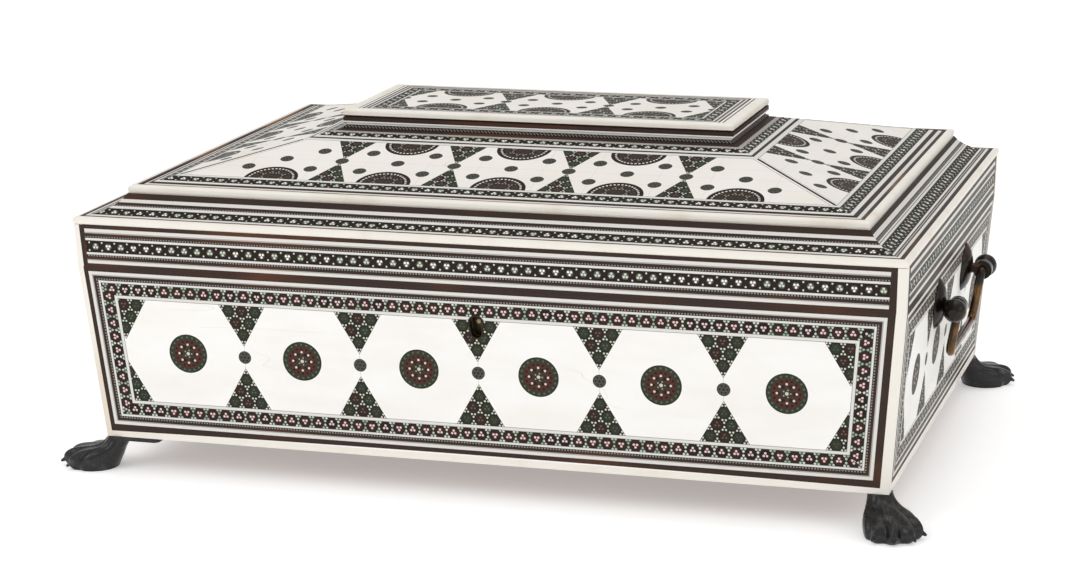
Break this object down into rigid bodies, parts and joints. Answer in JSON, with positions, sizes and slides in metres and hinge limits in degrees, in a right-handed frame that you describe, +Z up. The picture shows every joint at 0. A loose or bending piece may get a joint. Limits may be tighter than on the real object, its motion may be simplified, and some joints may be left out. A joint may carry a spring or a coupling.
{
  "type": "dressing table box",
  "caption": "Leaning-walled inlaid box with a stepped hinged lid on a hipped roof form, paw feet, end drop handles, box lock and a lift-out tray.",
  "frame": {"origin": "on the floor under the middle of the box", "axes": "+X towards the right end, +Y towards the hinged back, +Z up; the keyhole faces -Y"},
  "size_m": [0.4617, 0.327, 0.1782],
  "materials": {
    "inlaid_face": "polished mosaic inlay of pale and dark pieces",
    "pale_edging": "polished pale bone-coloured strips",
    "foot_bronze": "dark patinated cast bronze",
    "handle_bronze": "dark bronze, rubbed brown on the high parts",
    "aged_brass": "aged brass",
    "tray_wood": "waxed reddish brown wood",
    "dark_wood": "polished dark wood",
    "case_wood": "plain reddish brown wood"
  },
  "bodies": {
    "case": {"case_front": "case_wood", "case_back": "case_wood", "case_left": "case_wood", "case_right": "case_wood", "inlay_front": "inlaid_face", "inlay_back": "inlaid_face", "inlay_left": "inlaid_face", "inlay_right": "inlaid_face", "case_corner_edgings": "pale_edging", "case_bottom_edgings": "pale_edging", "base_board": "case_wood", "tray_rests": "case_wood", "keyhole_lining": "aged_brass", "lock_case": "aged_brass", "case_hinge_leaves": "aged_brass", "hinge_pins": "aged_brass", "paw_foot_front_left": "foot_bronze", "paw_foot_front_right": "foot_bronze", "paw_foot_back_right": "foot_bronze", "paw_foot_back_left": "foot_bronze", "handle_plates_right": "handle_bronze", "handle_plates_left": "handle_bronze", "handle_posts_right": "handle_bronze", "handle_posts_left": "handle_bronze", "handle_nuts": "handle_bronze"},
    "lid": {"lid_rail_front": "inlaid_face", "lid_rail_back": "inlaid_face", "lid_rail_left": "inlaid_face", "lid_rail_right": "inlaid_face", "lid_corner_edgings": "pale_edging", "lower_nosing": "pale_edging", "cove_front": "inlaid_face", "cove_back": "inlaid_face", "cove_left": "inlaid_face", "cove_right": "inlaid_face", "upper_nosing": "pale_edging", "roof_front": "inlaid_face", "roof_back": "inlaid_face", "roof_left": "inlaid_face", "roof_right": "inlaid_face", "plinth_frame": "dark_wood", "top_rim": "pale_edging", "top_panel": "inlaid_face", "link_plate": "aged_brass", "lid_hinge_leaves": "aged_brass"},
    "bail_left": {"bail_left": "handle_bronze"},
    "bail_right": {"bail_right": "handle_bronze"},
    "lock_bolt": {"lock_bolt": "aged_brass"},
    "tray": {"tray_long_sides": "tray_wood", "tray_short_sides": "tray_wood", "tray_bottom": "tray_wood", "tray_divider": "tray_wood", "tray_cross_dividers": "tray_wood"}
  },
  "joints": [
    {"name": "lid_hinge", "type": "hinge", "parent": "case", "child": "lid", "pos_m": [0, 0.14679, 0.1103], "axis": [-1, 0, 0], "range_deg": [0, 100]},
    {"name": "bail_right_swing", "type": "hinge", "parent": "case", "child": "bail_right", "pos_m": [0.22235, 0, 0.09008], "axis": [0, -1, 0], "range_deg": [-8, 180]},
    {"name": "bail_left_swing", "type": "hinge", "parent": "case", "child": "bail_left", "pos_m": [-0.22235, 0, 0.09008], "axis": [0, 1, 0], "range_deg": [-8, 180]},
    {"name": "bolt_slide", "type": "slide", "parent": "case", "child": "lock_bolt", "axis": [1, 0, 0], "range_m": [0, 0.003]},
    {"name": "tray_lift", "type": "slide", "parent": "case", "child": "tray", "axis": [0, 0, 1], "range_m": [0, 0.024]}
  ]
}
